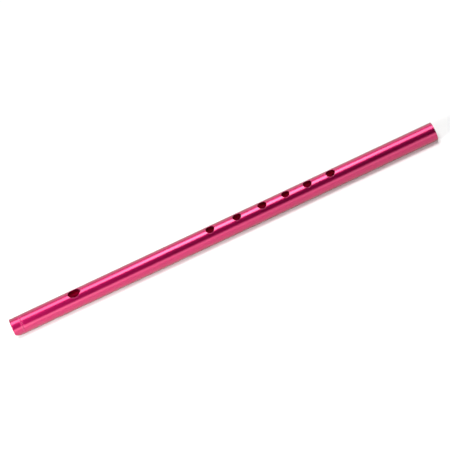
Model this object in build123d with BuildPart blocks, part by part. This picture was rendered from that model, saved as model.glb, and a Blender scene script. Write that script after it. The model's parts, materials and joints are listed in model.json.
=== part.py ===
"""A six-hole end-blown whistle made from drawn aluminium tube.

The whistle lies along X with its mouth end towards -X and its finger holes facing +Z. The origin is under
the middle of the whistle, on the surface that it lies on. A short bevelled cap closes the mouth end. A plug
fixed in the cap, the fipple block, slides into the tube as far as the window, and its flattened top is the
floor of the windway.
"""

import os

from build123d import *

os.makedirs("parts", exist_ok=True)

# Tube
LENGTH = 305.0
TUBE_OD = 12.7
WALL = 0.9
FOOT_FILLET = 0.2

# Mouthpiece, with distances measured from the mouth end
CAP_LENGTH = 7.2
CAP_FILLET = 0.3
SEAM_CHAMFER = 0.35
BEVEL_LENGTH = 4.35
BEVEL_HEIGHT = 6.1
BLOCK_LENGTH = 41.5
BLOCK_D = 11.24
SOCKET_D = 11.3
WINDWAY_WIDTH = 6.4
WINDWAY_ENTRY_GAP = 1.5
WINDWAY_EXIT_GAP = 1.0
WINDWAY_EXIT_CHAMFER = 0.3

# The oval window, and each finger hole's distance from the mouth end and diameter
WINDOW_AT = 46.0
WINDOW_LENGTH = 8.3
WINDOW_WIDTH = 6.8
LABIUM_ANGLE = 45.0
FINGER_HOLES = [(144.0, 5.9), (163.4, 5.85), (181.6, 6.0), (198.5, 5.4), (214.3, 5.95), (231.0, 6.1)]
HOLE_FILLET = 0.25

# Worked out from the dimensions above
TUBE_R = TUBE_OD / 2
BORE_R = TUBE_R - WALL
AXIS_Z = TUBE_R
MOUTH_X = -LENGTH / 2
SEAM_X = MOUTH_X + CAP_LENGTH
SHOULDER_X = MOUTH_X + BLOCK_LENGTH
WINDOW_X = MOUTH_X + WINDOW_AT
FOOT_X = LENGTH / 2
BLOCK_TOP = AXIS_Z + BLOCK_D / 2


def across(x):
    """The plane square to the whistle at x, centred on its axis, with its own X along +Y."""
    return Plane(origin=(x, 0, AXIS_Z), x_dir=(0, 1, 0), z_dir=(1, 0, 0))


def cut_bevel():
    """Cut the underside of the mouth end away to a bevel, in the part being built."""
    with BuildSketch(Plane.XZ) as waste:
        with BuildLine():
            Polyline(
                (MOUTH_X, BEVEL_HEIGHT),
                (MOUTH_X + BEVEL_LENGTH, 0),
                (MOUTH_X, 0),
                close=True,
            )
        make_face()
    extrude(waste.sketch, amount=TUBE_OD, both=True, mode=Mode.SUBTRACT)


with BuildPart() as body_tube:
    with BuildSketch(across(SEAM_X)):
        Circle(TUBE_R)
        Circle(BORE_R, mode=Mode.SUBTRACT)
    extrude(amount=FOOT_X - SEAM_X)
    fillet(body_tube.faces().sort_by(Axis.X)[-1].edges(), FOOT_FILLET)

    # The socket for the block ends at a shoulder just short of the window
    with BuildSketch(across(SEAM_X)):
        Circle(SOCKET_D / 2)
    extrude(amount=SHOULDER_X - SEAM_X, mode=Mode.SUBTRACT)
    chamfer(body_tube.faces().sort_by(Axis.X)[0].edges().sort_by(SortBy.RADIUS)[-1], SEAM_CHAMFER)

    # Window and finger holes go through the upper wall only, with their outer rims rounded
    window = [(WINDOW_AT, WINDOW_LENGTH / 2, WINDOW_WIDTH / 2)]
    fingers = [(distance, diameter / 2, diameter / 2) for distance, diameter in FINGER_HOLES]
    for distance, half_length, half_width in window + fingers:
        with BuildSketch(Plane.XY.offset(AXIS_Z)) as opening:
            with Locations((MOUTH_X + distance, 0)):
                if half_length == half_width:
                    Circle(half_length)
                else:
                    Ellipse(half_length, half_width)
        extrude(opening.sketch, amount=TUBE_OD, mode=Mode.SUBTRACT)
        rims = body_tube.edges(Select.LAST).filter_by(GeomType.LINE, reverse=True)
        fillet(rims.sort_by(Axis.Z)[-1], HOLE_FILLET)

    # The windway's roof runs on past the shoulder into the window
    with BuildSketch(across(SHOULDER_X)):
        Circle(SOCKET_D / 2)
        with Locations((0, SOCKET_D / 2)):
            Rectangle(WINDWAY_WIDTH, SOCKET_D / 2, mode=Mode.INTERSECT)
    extrude(amount=(WINDOW_X - SHOULDER_X) / 2, mode=Mode.SUBTRACT)

    # The labium: the window's outline, cut again at a tilt, leaves a ramp down to a sharp lip at the bore
    lip = Location((WINDOW_X + WINDOW_LENGTH / 2, 0, AXIS_Z + BORE_R), (0, LABIUM_ANGLE, 0))
    with BuildSketch(Plane(lip).offset(-WALL)):
        with Locations((-WINDOW_LENGTH / 2, 0)):
            Ellipse(WINDOW_LENGTH / 2, WINDOW_WIDTH / 2)
    extrude(amount=TUBE_OD, mode=Mode.SUBTRACT)

with BuildPart() as mouthpiece_cap:
    with BuildSketch(across(MOUTH_X)):
        Circle(TUBE_R)
        Circle(BLOCK_D / 2, mode=Mode.SUBTRACT)
    extrude(amount=CAP_LENGTH)
    fillet(mouthpiece_cap.faces().sort_by(Axis.X)[0].edges().sort_by(SortBy.RADIUS)[-1], CAP_FILLET)
    chamfer(mouthpiece_cap.faces().sort_by(Axis.X)[-1].edges().sort_by(SortBy.RADIUS)[-1], SEAM_CHAMFER)
    cut_bevel()

with BuildPart() as fipple_block:
    with BuildSketch(across(MOUTH_X)):
        Circle(BLOCK_D / 2)
    extrude(amount=BLOCK_LENGTH)

    # The windway's floor rises slightly towards the window
    with BuildSketch(Plane.XZ):
        with BuildLine():
            Polyline(
                (MOUTH_X, BLOCK_TOP - WINDWAY_ENTRY_GAP),
                (SHOULDER_X, BLOCK_TOP - WINDWAY_EXIT_GAP),
                (SHOULDER_X, BLOCK_TOP),
                (MOUTH_X, BLOCK_TOP),
                close=True,
            )
        make_face()
    extrude(amount=BLOCK_D, both=True, mode=Mode.SUBTRACT)
    exit_face = fipple_block.faces().sort_by(Axis.X)[-1]
    chamfer(exit_face.edges().filter_by(GeomType.LINE), WINDWAY_EXIT_CHAMFER)
    cut_bevel()

body_tube.part.label = "body_tube"
mouthpiece_cap.part.label = "mouthpiece_cap"
fipple_block.part.label = "fipple_block"

export_step(body_tube.part, "parts/body_tube.step")
export_step(mouthpiece_cap.part, "parts/mouthpiece_cap.step")
export_step(fipple_block.part, "parts/fipple_block.step")
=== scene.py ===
"""The whistle's looks: fine shells, anodised and acetal materials, a pale floor and studio light."""

import json
from math import asin, atan2, ceil, cos, hypot, pi, radians, sin, sqrt, tan

import bmesh
import bpy
from mathutils import Matrix, Vector


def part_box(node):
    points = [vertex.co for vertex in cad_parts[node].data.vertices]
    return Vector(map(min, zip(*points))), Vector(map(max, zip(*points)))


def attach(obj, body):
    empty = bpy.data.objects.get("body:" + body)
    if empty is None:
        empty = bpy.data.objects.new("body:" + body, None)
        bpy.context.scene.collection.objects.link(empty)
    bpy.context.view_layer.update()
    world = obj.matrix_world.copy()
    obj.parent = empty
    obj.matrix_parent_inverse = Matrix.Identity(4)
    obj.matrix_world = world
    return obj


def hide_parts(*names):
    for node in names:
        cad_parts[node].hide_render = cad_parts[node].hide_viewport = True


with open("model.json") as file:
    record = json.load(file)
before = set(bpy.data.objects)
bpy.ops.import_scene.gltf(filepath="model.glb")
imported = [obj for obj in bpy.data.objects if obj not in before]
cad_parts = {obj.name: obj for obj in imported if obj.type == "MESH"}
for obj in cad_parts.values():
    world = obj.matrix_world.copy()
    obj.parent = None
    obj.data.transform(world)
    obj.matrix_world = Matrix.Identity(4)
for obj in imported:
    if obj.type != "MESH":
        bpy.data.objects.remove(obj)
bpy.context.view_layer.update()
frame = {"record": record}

MM = 0.001

# ---------------------------------------------------------------- sizes from the frame
MOUNTS = {mount["name"]: mount for mount in frame["record"]["mounts"]}
TUBE_R = MOUNTS["tube_outside"]["dims"]["r_mm"] * MM
BORE_R = MOUNTS["foot_bore"]["dims"]["r_mm"] * MM
AXIS_Z = MOUNTS["foot_bore"]["pos_m"][2]
MOUTH_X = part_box("mouthpiece_cap")[0][0]
SEAM_X, FOOT_X = (corner[0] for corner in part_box("body_tube"))
SHOULDER_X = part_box("fipple_block")[1][0]
BLOCK_R = (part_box("fipple_block")[1][1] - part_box("fipple_block")[0][1]) / 2
WALL = TUBE_R - BORE_R

# ---------------------------------------------------------------- details, in metres
BLOCK_CLEARANCE = 0.03 * MM
SOCKET_R = BLOCK_R + BLOCK_CLEARANCE
FOOT_FILLET = 0.2 * MM
CAP_FILLET = 0.3 * MM
SEAM_ROUND = 0.35 * MM           # as far as the CAD's chamfer reaches
SMALL_EDGE = 0.06 * MM
BEVEL_LENGTH = 4.35 * MM
BEVEL_HEIGHT = 6.1 * MM
WINDWAY_WIDTH = 6.4 * MM
WINDWAY_ENTRY_GAP = 1.5 * MM
WINDWAY_EXIT_GAP = 1.0 * MM
WINDWAY_EXIT_CHAMFER = 0.3 * MM
HOLE_FILLET = 0.25 * MM
LABIUM_ANGLE = radians(45)
LIP = 0.03 * MM                  # half of the labium's thickness at its edge

# In millimetres: the window's distance from the mouth end, length and width, and each finger hole's
# distance and diameter
WINDOW = (46.0, 8.3, 6.8)
FINGER_HOLES = [(144.0, 5.9), (163.4, 5.85), (181.6, 6.0), (198.5, 5.4), (214.3, 5.95), (231.0, 6.1)]

# ---------------------------------------------------------------- mesh building
AROUND = 96                      # faces round the tube
STEP = 2.0 * MM                  # longest face along the plain tube
WELD = 0.002 * MM                # points closer than this are one point
SUPPORT = 0.03 * MM              # a loop this far from an edge keeps its shading crisp

# The patch of wall round each opening: half of its faces in each direction, and half of its length
WINDOW_CELLS = 14
WINDOW_PATCH = 6.0 * MM
FINGER_CELLS = 10
FINGER_PATCH = 4.2 * MM
PATCH_SHARES = (0, 0.3, 0.58, 0.8, 0.95, 1)      # its rings, as shares of the way in to the rim
PATCH_WEAR_AND_HIGHLIGHT = [0, 0, 0, 0, 0.15, 1]               # and how pale each of them is painted: partly rubbed, and at the rim a painted highlight


def smoothstep(t):
    t = min(max(t, 0.0), 1.0)
    return t * t * (3 - 2 * t)


def mix(a, b, t):
    return a + (b - a) * t


def shares(count, first=0.04, last=0.97):
    """Even shares from 0 to 1, with one more near each end to keep the shading there crisp."""
    return [0, first] + [i / count for i in range(1, count)] + [last, 1]


def around(x, angle, radius):
    """A point beside the whistle's axis. Angle 0 is the top, and it grows towards +Y."""
    return (x, radius * sin(angle), AXIS_Z + radius * cos(angle))


def above(x, y, radius, depth=0.0):
    """The point of a cylinder round the axis that lies over (x, y), less a depth."""
    return (x, y, AXIS_Z + sqrt(radius * radius - y * y) - depth)


def full_ring(x, radius):
    return [around(x, 2 * pi * k / AROUND, radius) for k in range(AROUND)]


def drawn_out(ring, end, steps):
    """Copies of a ring of points, drawn along the whistle by shares of the way to a flat end."""
    return [[(mix(x, end, step), y, z) for x, y, z in ring] for step in steps]


class Shell:
    """A closed surface gathered from grids of points, whose shared edges are welded at the end."""

    def __init__(self):
        self.mesh = bmesh.new()
        self.wear_and_highlight = self.mesh.verts.layers.float.new("wear_and_highlight")

    def grid(self, rows, closed=True, wear_and_highlight=0.0, slot=0):
        """Faces between neighbouring rows of points.

        The pale mark is one value, or one for each row: 0 is as dyed, and 1 is pale, which is rubbing on
        rubbed edges and a painted highlight on the seam and the hole rims.
        """
        values = wear_and_highlight if isinstance(wear_and_highlight, list) else [wear_and_highlight] * len(rows)
        made = []
        for row, value in zip(rows, values):
            verts = [self.mesh.verts.new(point) for point in row]
            for vert in verts:
                vert[self.wear_and_highlight] = value
            made.append(verts)
        for a, b in zip(made, made[1:]):
            count = len(a)
            for i in range(count if closed else count - 1):
                j = (i + 1) % count
                face = self.mesh.faces.new((a[i], a[j], b[j], b[i]))
                face.material_index = slot

    def finish(self, name, materials, sharp_angle=None):
        """The welded surface as an object in the scene."""
        bmesh.ops.remove_doubles(self.mesh, verts=self.mesh.verts, dist=WELD)
        bmesh.ops.recalc_face_normals(self.mesh, faces=self.mesh.faces)
        for face in self.mesh.faces:
            face.smooth = True
        if sharp_angle:
            for edge in self.mesh.edges:
                if len(edge.link_faces) == 2 and edge.calc_face_angle() > sharp_angle:
                    edge.smooth = False
        data = bpy.data.meshes.new(name)
        self.mesh.to_mesh(data)
        self.mesh.free()
        for material in materials:
            data.materials.append(material)
        piece = bpy.data.objects.new(name, data)
        bpy.context.scene.collection.objects.link(piece)
        return piece


def set_round_normals(piece):
    """Exact normals on the outer cylinder, so that reflections run straight along it."""
    normals = []
    for vertex in piece.data.vertices:
        y, z = vertex.co.y, vertex.co.z - AXIS_Z
        radius = hypot(y, z)
        outside = abs(radius - TUBE_R) < WELD
        normals.append((0, y / radius, z / radius) if outside else (0, 0, 0))
    piece.data.normals_split_custom_set_from_vertices(normals)


class Opening:
    """A round or oval hole in the tube's upper wall, and the patch of wall that leads into it.

    The patch is a rectangle of the tube's own grid on each side of the wall. Rings of points run from its
    border to the hole's rim, down through the wall, and out again to the border of the inner patch.
    """

    def __init__(self, hole, cells, half_length, labium=False):
        distance, length, *width = hole
        self.x = MOUTH_X + distance * MM
        self.reach = length * MM / 2
        self.breadth = width[0] * MM / 2 if width else self.reach
        self.cells = cells
        self.low = self.x - half_length
        self.high = self.x + half_length
        self.labium = labium
        self.inner_low = SHOULDER_X if labium else self.low
        self.border = (
            [(cells, k) for k in range(-cells, cells)]
            + [(i, cells) for i in range(cells, -cells, -1)]
            + [(-cells, k) for k in range(cells, -cells, -1)]
            + [(i, -cells) for i in range(-cells, cells)]
        )
        self.turns = [atan2(k / cells, i / cells) for i, k in self.border]

    def station(self, i, low):
        """x of grid line number i of a patch that starts at low."""
        reach = self.high - self.x if i > 0 else self.x - low
        return self.x + reach * i / self.cells

    def stations(self, low):
        return [self.station(i, low) for i in range(-self.cells, self.cells + 1)]

    def border_ring(self, low):
        """(x, angle) of each point on the patch's border."""
        return [(self.station(i, low), 2 * pi * k / AROUND) for i, k in self.border]

    def wall(self, turn, out=0.0):
        """(x, y) on the hole's wall at this turn round it, or that far outwards from it."""
        across = hypot(cos(turn) / self.reach, sin(turn) / self.breadth)
        return (
            self.x + self.reach * cos(turn) + out * cos(turn) / self.reach / across,
            self.breadth * sin(turn) + out * sin(turn) / self.breadth / across,
        )

    def edge(self, turn):
        """How the outer edge is broken at this turn round the hole.

        It gives x and y of the rim, the depth, and the share of ramp: 1 on the labium, 0 on a plain round.
        """
        rim = self.wall(turn, HOLE_FILLET)
        if not self.labium or cos(turn) <= 0:
            return (*rim, HOLE_FILLET, 0.0)
        x, y = self.wall(turn)
        back = self.x + self.reach - x
        drop = TUBE_R - sqrt(TUBE_R * TUBE_R - y * y)
        height = WALL - drop - back * sin(LABIUM_ANGLE)
        width = back * (1 - cos(LABIUM_ANGLE)) + tan(LABIUM_ANGLE) * height
        share = smoothstep((width - (rim[0] - x)) / HOLE_FILLET)
        depth = min(width / tan(LABIUM_ANGLE), WALL - 2 * LIP)
        ramp = (x + max(width, 0.0), y, depth)
        return (*(mix(a, b, share) for a, b in zip((*rim, HOLE_FILLET), ramp)), share)

    def outer_rim(self):
        return [self.edge(t)[:2] for t in self.turns]

    def inner_edge(self, turn):
        """Size of the inner edge's break: a sharp lip on the labium, a small round elsewhere."""
        return mix(SMALL_EDGE, LIP / 2, self.edge(turn)[3])

    def inner_rim(self):
        return [self.wall(t, self.inner_edge(t)) for t in self.turns]

    def roof(self, x, y):
        """The bore's radius here. The windway's roof runs on past the shoulder to the window."""
        relieved = self.labium and x < self.x and abs(y) < WINDWAY_WIDTH / 2
        return SOCKET_R if relieved else BORE_R

    def edge_rings(self):
        """Rings from the outer rim down to the top of the straight wall."""
        rings = []
        for step in shares(6):
            ring = []
            for turn in self.turns:
                wall_x, wall_y = self.wall(turn)
                rim_x, rim_y, depth, share = self.edge(turn)
                a = step * pi / 2
                out = mix(1 - sin(a), 1 - step, share)
                down = mix(1 - cos(a), step, share)
                x, y = mix(wall_x, rim_x, out), mix(wall_y, rim_y, out)
                ring.append(above(x, y, TUBE_R, depth * down))
            rings.append(ring)
        return rings

    def wall_rings(self):
        """Rings down the straight wall."""
        rings = []
        for step in shares(4, 0.06, 0.94):
            ring = []
            for turn in self.turns:
                x, y = self.wall(turn)
                top = above(x, y, TUBE_R, self.edge(turn)[2])[2]
                bottom = above(x, y, self.roof(x, y))[2] + self.inner_edge(turn)
                ring.append((x, y, mix(top, bottom, step)))
            rings.append(ring)
        return rings

    def inner_edge_rings(self):
        """Rings from the bottom of the straight wall out to the inner rim."""
        rings = []
        for step in (0, 1 / 3, 2 / 3, 1):
            a = step * pi / 2
            ring = []
            for turn in self.turns:
                size = self.inner_edge(turn)
                x, y = self.wall(turn, size * (1 - cos(a)))
                ring.append(above(x, y, self.roof(x, y), -size * (1 - sin(a))))
            rings.append(ring)
        return rings

    def patch_rings(self, rim, low, radius_at):
        """Rings on a cylinder from the patch's border to a rim given as (x, y)."""
        rings = []
        for step in PATCH_SHARES:
            ring = []
            for (border_x, border_angle), (rim_x, rim_y) in zip(self.border_ring(low), rim):
                x = mix(border_x, rim_x, step)
                rim_angle = asin(rim_y / radius_at(rim_x, rim_y))
                angle = mix(border_angle, rim_angle, step)
                ring.append(around(x, angle, radius_at(x, BORE_R * sin(angle))))
            rings.append(ring)
        return rings

    def cut(self, shell):
        """Lay the whole hole into the shell, from the outer patch's border to the inner one's."""
        outer = self.patch_rings(self.outer_rim(), self.low, lambda x, y: TUBE_R)
        # The rings at and round the rim are marked pale: partly rubbed edges, partly a painted highlight on
        # the rim.
        shell.grid(outer, wear_and_highlight=PATCH_WEAR_AND_HIGHLIGHT)
        shell.grid(self.edge_rings(), wear_and_highlight=1.0)
        shell.grid(self.wall_rings(), wear_and_highlight=1.0, slot=1)
        shell.grid(self.inner_edge_rings(), slot=1)
        shell.grid(self.patch_rings(self.inner_rim(), self.inner_low, self.roof), slot=1)


def plain_stations(start, end):
    """Even grid lines over a plain stretch of tube."""
    slack = 0.01           # a hair over a whole number of steps is still that number
    count = max(1, ceil((end - start) / STEP - slack))
    return [mix(start, end, i / count) for i in range(count + 1)]


def tube_side(shell, radius, start, end, patches, slot):
    """One side of the tube's wall from start to end, less the patches round the holes.

    patches holds each opening and the x at which its patch on this side starts.
    """
    at = start
    for opening, low in patches:
        if low - at > WELD:
            shell.grid([full_ring(x, radius) for x in plain_stations(at, low)], slot=slot)
        angles = [2 * pi * k / AROUND for k in range(opening.cells, AROUND - opening.cells + 1)]
        below = [[around(x, a, radius) for a in angles] for x in opening.stations(low)]
        shell.grid(below, closed=False, slot=slot)
        at = opening.high
    shell.grid([full_ring(x, radius) for x in plain_stations(at, end)], slot=slot)


def arc(size, steps=6):
    """(run, drop) pairs along a quarter round, from its first tangent point to its last."""
    return [(size * sin(a), size * (1 - cos(a))) for a in (pi / 2 * i / steps for i in range(steps + 1))]


def build_tube(materials):
    shell = Shell()
    window = Opening(WINDOW, WINDOW_CELLS, WINDOW_PATCH, labium=True)
    fingers = [Opening(hole, FINGER_CELLS, FINGER_PATCH) for hole in FINGER_HOLES]
    openings = [window, *fingers]
    for opening in openings:
        opening.cut(shell)

    outer_start = SEAM_X + SEAM_ROUND
    outer_end = FOOT_X - FOOT_FILLET
    tube_side(shell, TUBE_R, outer_start, outer_end, [(o, o.low) for o in openings], slot=0)
    tube_side(shell, BORE_R, SHOULDER_X, outer_end, [(o, o.inner_low) for o in openings], slot=1)

    # Foot end: rounded outer edge, flat face, rounded inner edge
    foot_edge = arc(FOOT_FILLET)
    foot = [(outer_end + run, TUBE_R - drop) for run, drop in foot_edge]
    foot += [(outer_end + run, BORE_R + drop) for run, drop in reversed(foot_edge)]
    shell.grid([full_ring(x, r) for x, r in foot], wear_and_highlight=[0] * len(foot_edge) + [0.5] * len(foot_edge))

    # Seam end: a rounded outer edge, a flat face, and the block's socket down to the shoulder
    seam = [(outer_start - run, TUBE_R - drop) for run, drop in arc(SEAM_ROUND)]
    seam += [(SEAM_X, SOCKET_R + SMALL_EDGE), (SEAM_X + SMALL_EDGE, SOCKET_R)]
    # The rounded seam edge is marked pale all over: a painted highlight along the seam.
    shell.grid([full_ring(x, r) for x, r in seam], wear_and_highlight=1.0)
    socket = plain_stations(SEAM_X + SMALL_EDGE, SHOULDER_X)
    shell.grid([full_ring(x, SOCKET_R) for x in socket], slot=1)

    # The shoulder, less the stretch under the window that the windway's roof runs through
    ledge = []
    for k in range(AROUND):
        angle = 2 * pi * k / AROUND
        relieved = cos(angle) > 0 and abs(BORE_R * sin(angle)) < WINDWAY_WIDTH / 2
        ledge.append(around(SHOULDER_X, angle, SOCKET_R if relieved else BORE_R))
    shell.grid([full_ring(SHOULDER_X, SOCKET_R), ledge], slot=1)

    piece = shell.finish("whistle_tube", materials)
    set_round_normals(piece)
    return piece


def bevel_x(z):
    """x of the mouth end's front at height z: upright above, sloping back below."""
    return MOUTH_X + max(0.0, BEVEL_LENGTH * (1 - z / BEVEL_HEIGHT))


def build_cap(materials):
    """The cap. On each side one line of points is moved to the crease where the bevel starts."""
    shell = Shell()
    crease = pi / 2 + asin((AXIS_Z - BEVEL_HEIGHT) / TUBE_R)
    angles = []
    for k in range(AROUND):
        angle = 2 * pi * k / AROUND
        for corner in (crease, 2 * pi - crease):
            if abs(angle - corner) < pi / AROUND:
                angle = corner
        angles.append(angle)

    def ring(radius, behind_front=None, x=None):
        """Points round the cap, all at x, or each that far behind the bevelled front."""
        points = []
        for angle in angles:
            z = AXIS_Z + radius * cos(angle)
            points.append(around(x if x is not None else bevel_x(z) + behind_front, angle, radius))
        return points

    # The front's rounded outer edge, its face, and the small break at the block
    rounded = [ring(TUBE_R - drop, CAP_FILLET - run) for run, drop in arc(CAP_FILLET)]
    shell.grid(rounded, wear_and_highlight=0.2)
    face = [TUBE_R - CAP_FILLET, TUBE_R - CAP_FILLET - SUPPORT, BLOCK_R + SMALL_EDGE]
    shell.grid([ring(r, 0.0) for r in face], wear_and_highlight=0.6)
    shell.grid([ring(BLOCK_R + SMALL_EDGE, 0.0), ring(BLOCK_R, SMALL_EDGE)], wear_and_highlight=1.0)

    # Outside, from behind the front edge to the seam, where it is painted pale as a highlight along the
    # seam
    outer_end = SEAM_X - SEAM_ROUND
    outer = drawn_out(ring(TUBE_R, CAP_FILLET), outer_end, shares(12))
    shell.grid(outer, wear_and_highlight=[0] * (len(outer) - 3) + [0.9, 1.0, 1.0])
    seam = [(outer_end + run, TUBE_R - drop) for run, drop in arc(SEAM_ROUND)]
    seam.append((SEAM_X, BLOCK_R))
    shell.grid([ring(r, x=x) for x, r in seam], wear_and_highlight=1.0)

    # The hole for the block
    shell.grid(drawn_out(ring(BLOCK_R, SMALL_EDGE), SEAM_X, [i / 10 for i in range(11)]), slot=1)

    piece = shell.finish("whistle_cap", materials, sharp_angle=radians(24))
    set_round_normals(piece)
    return piece


def build_block(materials):
    """The fipple block: a plug with a flat along its top, bevelled at the mouth end."""
    shell = Shell()
    sides = 40
    columns = 12
    lengths = 22

    def floor_at(x):
        """Height of the windway's floor, which is the flat on the block."""
        entry = AXIS_Z + BLOCK_R - WINDWAY_ENTRY_GAP
        leave = AXIS_Z + BLOCK_R - WINDWAY_EXIT_GAP
        return mix(entry, leave, (x - MOUTH_X) / (SHOULDER_X - MOUTH_X))

    def heights(floor):
        """Heights of the section's rows, from the bottom up, at even steps round the plug."""
        top = pi / 2 + asin((floor - AXIS_Z) / BLOCK_R)
        return [AXIS_Z - BLOCK_R * cos(top * i / sides) for i in range(sides + 1)]

    def half_width(z):
        return sqrt(max(BLOCK_R ** 2 - (z - AXIS_Z) ** 2, 0.0))

    def outline(floor, x_at):
        """The section's outline, up one side, across the flat and down the other."""
        rows = heights(floor)
        right = [(x_at(z), half_width(z), z) for z in rows]
        edge = half_width(floor)
        top = [(x_at(floor), mix(1, -1, i / columns) * edge, floor) for i in range(1, columns)]
        left = [(x_at(z), -half_width(z), z) for z in reversed(rows[1:])]
        return right + top + left

    def end_face(floor, x_at):
        """A grid over the section, whose border is its outline."""
        rows = [
            [(x_at(z), mix(-1, 1, i / columns) * half_width(z), z) for i in range(columns + 1)]
            for z in heights(floor)
        ]
        shell.grid(rows, closed=False)

    front_floor = floor_at(MOUTH_X)
    end_face(front_floor, bevel_x)
    rings = [outline(front_floor, bevel_x)]
    for i in range(lengths + 1):
        x = mix(MOUTH_X + BEVEL_LENGTH, SHOULDER_X - WINDWAY_EXIT_CHAMFER, i / lengths)
        rings.append(outline(floor_at(x), lambda z, x=x: x))
    last_floor = floor_at(SHOULDER_X) - WINDWAY_EXIT_CHAMFER
    rings.append(outline(last_floor, lambda z: SHOULDER_X))
    shell.grid(rings)
    end_face(last_floor, lambda z: SHOULDER_X)
    return shell.finish("fipple_plug", materials, sharp_angle=radians(30))


# ---------------------------------------------------------------- materials
class Nodes:
    """Shorthand for building a material's node tree."""

    def __init__(self, name):
        self.material = bpy.data.materials.new(name)
        self.material.use_nodes = True
        self.tree = self.material.node_tree
        self.shader = self.tree.nodes["Principled BSDF"]

    def add(self, kind, inputs=(), **settings):
        """A new node, with its inputs set or linked."""
        node = self.tree.nodes.new(kind)
        for key, value in settings.items():
            setattr(node, key, value)
        for key, value in dict(inputs).items():
            if isinstance(value, bpy.types.NodeSocket):
                self.tree.links.new(value, node.inputs[key])
            else:
                node.inputs[key].default_value = value
        return node

    def shade(self, **inputs):
        """Set or link the shader's inputs, named with underscores for spaces."""
        for key, value in inputs.items():
            socket = self.shader.inputs[key.replace("_", " ")]
            if isinstance(value, bpy.types.NodeSocket):
                self.tree.links.new(value, socket)
            else:
                socket.default_value = value

    def noise(self, stretch, detail=2.0, roughness=0.5):
        """Noise in the piece's own space, with so many features to the metre along each axis."""
        place = self.add("ShaderNodeTexCoord").outputs["Object"]
        mapped = self.add("ShaderNodeMapping", {"Vector": place, "Scale": stretch})
        return self.add(
            "ShaderNodeTexNoise",
            {"Vector": mapped.outputs["Vector"], "Scale": 1.0, "Detail": detail, "Roughness": roughness},
        ).outputs["Fac"]

    def ramp(self, value, low, high, to_low=0.0, to_high=1.0):
        """A value taken from one range to another, and held inside it."""
        return self.add(
            "ShaderNodeMapRange",
            {"Value": value, "From Min": low, "From Max": high, "To Min": to_low, "To Max": to_high},
        ).outputs["Result"]

    def blend(self, amount, first, second):
        """A mix of two colours. A Mix node's inputs 0, 6 and 7 are its factor and its two colours."""
        inputs = {0: amount, 6: first, 7: second}
        return self.add("ShaderNodeMix", inputs, data_type="RGBA").outputs[2]

    def total(self, first, second):
        return self.add("ShaderNodeMath", {0: first, 1: second}, operation="ADD").outputs[0]

    def bump(self, height, depth):
        inputs = {"Height": height, "Distance": depth, "Strength": 1.0}
        return self.add("ShaderNodeBump", inputs).outputs["Normal"]

    def wear_and_highlight(self, most):
        """How far the pale mark goes: 0 where it is under 0.3, and this much where it is 1. The mark is
        partly rubbing and partly painted highlight.
        """
        pale_mark = self.add("ShaderNodeAttribute", attribute_name="wear_and_highlight").outputs["Fac"]
        return self.ramp(pale_mark, 0.3, 1.0, to_high=most)


PINK = (0.47, 0.0032, 0.095, 1)
DEEP_PINK = (0.44, 0.0025, 0.087, 1)
# a paler pink for rubbed edges, also used as a painted highlight on the seam and the hole rims
PALE_EDGE_AND_HIGHLIGHT = (0.60, 0.05, 0.19, 1)
GRAZING_TINT = (0.15, 0.08, 0.12, 1)     # the dye looks deeper at a glancing angle
BORE_PINK = (0.62, 0.030, 0.19, 1)
BORE_DARK = (0.50, 0.020, 0.12, 1)
ACETAL = (0.010, 0.010, 0.012, 1)
DUSTY_ACETAL = (0.024, 0.023, 0.026, 1)
FLOOR_GREY = (0.835, 0.835, 0.83, 1)
FLOOR_PALE = (0.85, 0.85, 0.845, 1)

# Features to the metre along x, y and z
LONG_LINES = (35, 5500, 5500)
TURNED_LINES = (7000, 45, 45)
DYE_CLOUDS = (18, 90, 90)
SMEARS = (60, 400, 400)
DRAWING_MARKS = (70, 3500, 3500)
BORE_MOTTLE = (150, 300, 300)
TOOL_RINGS = (9000, 60, 60)
BLOCK_MOTTLE = (500, 500, 500)
FLOOR_GRAIN = (400, 400, 400)

LINE_DEPTH = 0.0012 * MM
MARK_DEPTH = 0.004 * MM
RING_DEPTH = 0.006 * MM


def anodised(name, lines, dusk=0.0):
    """Dyed, sealed and polished aluminium. lines is its fine surface lines, and dusk deepens the dye."""
    m = Nodes(name)
    streaks = m.noise(lines, detail=3.0)
    clouds = m.noise(DYE_CLOUDS)
    smears = m.noise(SMEARS, detail=4.0, roughness=0.6)
    dye = m.blend(m.ramp(clouds, 0.35, 0.65), PINK, DEEP_PINK)
    if dusk:
        dye = m.blend(dusk, dye, DEEP_PINK)
    polish = m.ramp(m.total(streaks, smears), 0.7, 1.3, to_low=0.33, to_high=0.39)
    # The pale mark lightens and roughens the surface: rubbed edges, and a painted highlight on the seam and
    # the hole rims
    m.shade(
        Base_Color=m.blend(m.wear_and_highlight(most=0.55), dye, PALE_EDGE_AND_HIGHLIGHT),
        Metallic=1.0,
        Roughness=m.total(polish, m.wear_and_highlight(most=0.22)),
        Specular_Tint=GRAZING_TINT,
        Coat_Weight=1.0,
        Coat_Roughness=0.17,
        Coat_IOR=1.54,
        Normal=m.bump(streaks, LINE_DEPTH),
    )
    return m.material


def bore_metal():
    """The dyed but unpolished wall inside the tube, with drawing marks along it."""
    m = Nodes("anodised_bore")
    marks = m.noise(DRAWING_MARKS, detail=3.0)
    mottle = m.noise(BORE_MOTTLE, detail=3.0)
    m.shade(
        Base_Color=m.blend(m.ramp(mottle, 0.35, 0.65), BORE_PINK, BORE_DARK),
        Metallic=1.0,
        Roughness=m.ramp(marks, 0.3, 0.7, to_low=0.36, to_high=0.50),
        Normal=m.bump(marks, MARK_DEPTH),
    )
    return m.material


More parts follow.
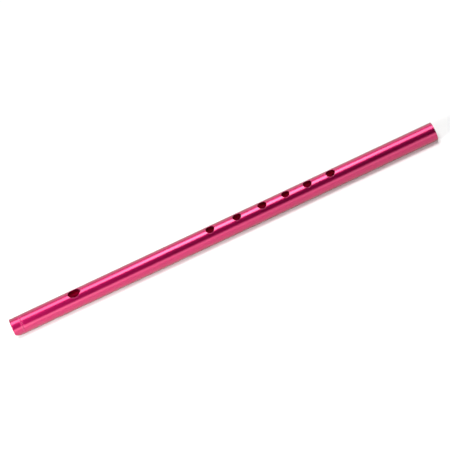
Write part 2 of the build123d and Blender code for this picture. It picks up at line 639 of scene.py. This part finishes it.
def acetal():
    """Turned black acetal with fine tool rings and a faint mottle."""
    m = Nodes("black_acetal")
    rings = m.noise(TOOL_RINGS)
    mottle = m.noise(BLOCK_MOTTLE, detail=3.0)
    m.shade(
        Base_Color=m.blend(mottle, ACETAL, DUSTY_ACETAL),
        Roughness=m.ramp(rings, 0.3, 0.7, to_low=0.38, to_high=0.52),
        Normal=m.bump(rings, RING_DEPTH),
    )
    return m.material


def floor_paint():
    m = Nodes("pale_floor")
    grain = m.noise(FLOOR_GRAIN, detail=3.0)
    m.shade(
        Base_Color=m.blend(grain, FLOOR_GREY, FLOOR_PALE),
        Roughness=0.8,
        Specular_IOR_Level=0.0,
    )
    return m.material


tube_finish = anodised("anodised_tube_finish", LONG_LINES)
cap_finish = anodised("anodised_cap_finish", TURNED_LINES, dusk=0.5)
bore_finish = bore_metal()

# ---------------------------------------------------------------- pieces
tube = build_tube([tube_finish, bore_finish])
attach(tube, "tube")
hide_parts("body_tube")

cap = build_cap([cap_finish, bore_finish])
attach(cap, "mouthpiece")
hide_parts("mouthpiece_cap")

block = build_block([acetal()])
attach(block, "mouthpiece")
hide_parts("fipple_block")

# ---------------------------------------------------------------- floor, camera and light
FLOOR_HALF = 3.0
FLOOR_Z = -0.05 * MM           # a hair below the tube, so that the two don't touch


def build_floor():
    data = bpy.data.meshes.new("floor")
    corners = [(-1, -1), (1, -1), (1, 1), (-1, 1)]
    data.from_pydata([(x * FLOOR_HALF, y * FLOOR_HALF, FLOOR_Z) for x, y in corners], [], [(0, 1, 2, 3)])
    data.materials.append(floor_paint())
    floor = bpy.data.objects.new("floor", data)
    bpy.context.scene.collection.objects.link(floor)
    return floor


CAMERA_ELEVATION = radians(47.5)
CAMERA_DISTANCE = 1.4
CAMERA_X = -0.0367
CLIP_START = 0.05
AIM_X = 0.0018
RISE = radians(25.08)          # the tube climbs this much to the right in the picture
AIM_ABOVE_AXIS = 0.0024
LENS = 171.0                   # millimetres


def place_camera():
    """Look across the tube from in front and above, rolled so that its foot end stands higher."""
    aim = Vector((AIM_X, 0, AXIS_Z))
    back = CAMERA_DISTANCE * cos(CAMERA_ELEVATION)
    height = CAMERA_DISTANCE * sin(CAMERA_ELEVATION)
    eye = Vector((CAMERA_X, -back, AXIS_Z + height))
    forward = (aim - eye).normalized()
    along = (Vector((1, 0, 0)) - forward * forward.x).normalized()
    over = along.cross(forward)
    right = along * cos(RISE) - over * sin(RISE)
    up = along * sin(RISE) + over * cos(RISE)
    eye += over * AIM_ABOVE_AXIS
    turn = Matrix((right, up, -forward)).transposed()
    data = bpy.data.cameras.new("camera")
    data.lens = LENS
    data.clip_start = CLIP_START
    camera = bpy.data.objects.new("camera", data)
    camera.matrix_world = Matrix.Translation(eye) @ turn.to_4x4()
    bpy.context.scene.collection.objects.link(camera)
    bpy.context.scene.camera = camera


def group(name, members):
    """A collection outside the scene. A light that is linked to it shines on nothing else."""
    collection = bpy.data.collections.new(name)
    for member in members:
        collection.objects.link(member)
    return collection


def softbox(name, centre, target, width, height, radiance, lights_only):
    """A rectangle of light that faces the target, with its width level. Radiance is how bright it looks."""
    data = bpy.data.lights.new(name, "AREA")
    data.shape = "RECTANGLE"
    data.size = width
    data.size_y = height
    data.energy = radiance * pi * width * height
    light = bpy.data.objects.new(name, data)
    light.light_linking.receiver_collection = lights_only
    light.location = centre
    facing = Vector(target) - Vector(centre)
    light.rotation_euler = facing.to_track_quat("-Z", "Y").to_euler()
    light.visible_camera = False
    bpy.context.scene.collection.objects.link(light)


def broad_light(name, direction, spread, brightness, lights_only):
    """A soft even light from far away, which brings a white surface facing it to this brightness."""
    data = bpy.data.lights.new(name, "SUN")
    data.energy = brightness * pi
    data.angle = spread
    light = bpy.data.objects.new(name, data)
    light.light_linking.receiver_collection = lights_only
    light.rotation_euler = Vector(direction).to_track_quat("Z", "Y").to_euler()
    bpy.context.scene.collection.objects.link(light)


def set_lights():
    """Lights on the whistle, which draw its pale and dark bands, and lights that burn the floor out."""
    middle = (0, 0, AXIS_Z)
    whistle = group("whistle", [tube, cap, block])
    ground = group("ground", [floor])
    softbox("overhead_core", (0.04, 0.19, 0.69), middle, 0.26, 0.38, 3.6, whistle)
    softbox("overhead_strip", (0, 0.19, 0.69), middle, 0.90, 0.42, 3.5, whistle)
    softbox("overhead_wide", (0, 0.37, 0.595), middle, 1.0, 0.60, 0.4, whistle)
    softbox("overhead_left", (-0.42, -0.03, 0.68), (-0.15, 0, AXIS_Z), 0.5, 0.30, 3.0, whistle)
    softbox("left_key", (-0.42, -0.275, 0.342), middle, 0.2, 0.2, 21.0, whistle)
    softbox("right_card", (1.0, -0.05, 0.12), middle, 0.3, 0.3, 1.5, whistle)
    softbox("front_card", (0, -0.89, 0.24), middle, 1.6, 0.42, 1.35, whistle)
    softbox("front_left_card", (-0.5, -0.89, 0.22), middle, 0.9, 0.46, 1.1, whistle)
    softbox("back_card", (0, 0.97, 0.41), middle, 1.6, 0.60, 1.25, whistle)
    softbox("ground_left", (-0.36, -0.26, 0.28), (-0.15, 0, 0), 0.2, 0.2, 19.0, ground)
    softbox("ground_front", (-0.1, -1.1, 0.95), middle, 0.8, 0.6, 1.5, ground)
    softbox("ground_back", (-0.1, 0.80, 0.90), middle, 0.8, 0.5, 1.5, ground)
    softbox("ground_right", (0.14, -0.08, 0.68), (0.12, 0, 0), 0.3, 0.2, 5.5, ground)
    broad_light("ground_sky", (0, -0.03, 1), radians(38), 0.70, ground)


HORIZON_BRIGHTNESS = 0.62      # at and below the height where the world starts to darken
ZENITH_BRIGHTNESS = 0.02
DARKENS_FROM = 0.10            # heights on a sphere of radius 1
DARKENS_TO = 0.40


def set_world():
    """A pale horizon behind the floor, and darkness above, so that the tube keeps its dark band."""
    world = bpy.data.worlds.new("studio")
    world.use_nodes = True
    nodes, links = world.node_tree.nodes, world.node_tree.links
    direction = nodes.new("ShaderNodeTexCoord")
    height = nodes.new("ShaderNodeSeparateXYZ")
    level = nodes.new("ShaderNodeMapRange")
    level.interpolation_type = "SMOOTHSTEP"
    level.inputs["From Min"].default_value = DARKENS_FROM
    level.inputs["From Max"].default_value = DARKENS_TO
    level.inputs["To Min"].default_value = HORIZON_BRIGHTNESS
    level.inputs["To Max"].default_value = ZENITH_BRIGHTNESS
    links.new(direction.outputs["Generated"], height.inputs["Vector"])
    links.new(height.outputs["Z"], level.inputs["Value"])
    links.new(level.outputs["Result"], nodes["Background"].inputs["Color"])
    bpy.context.scene.world = world


floor = build_floor()
place_camera()
set_lights()
set_world()
bpy.context.scene.view_settings.view_transform = "Standard"
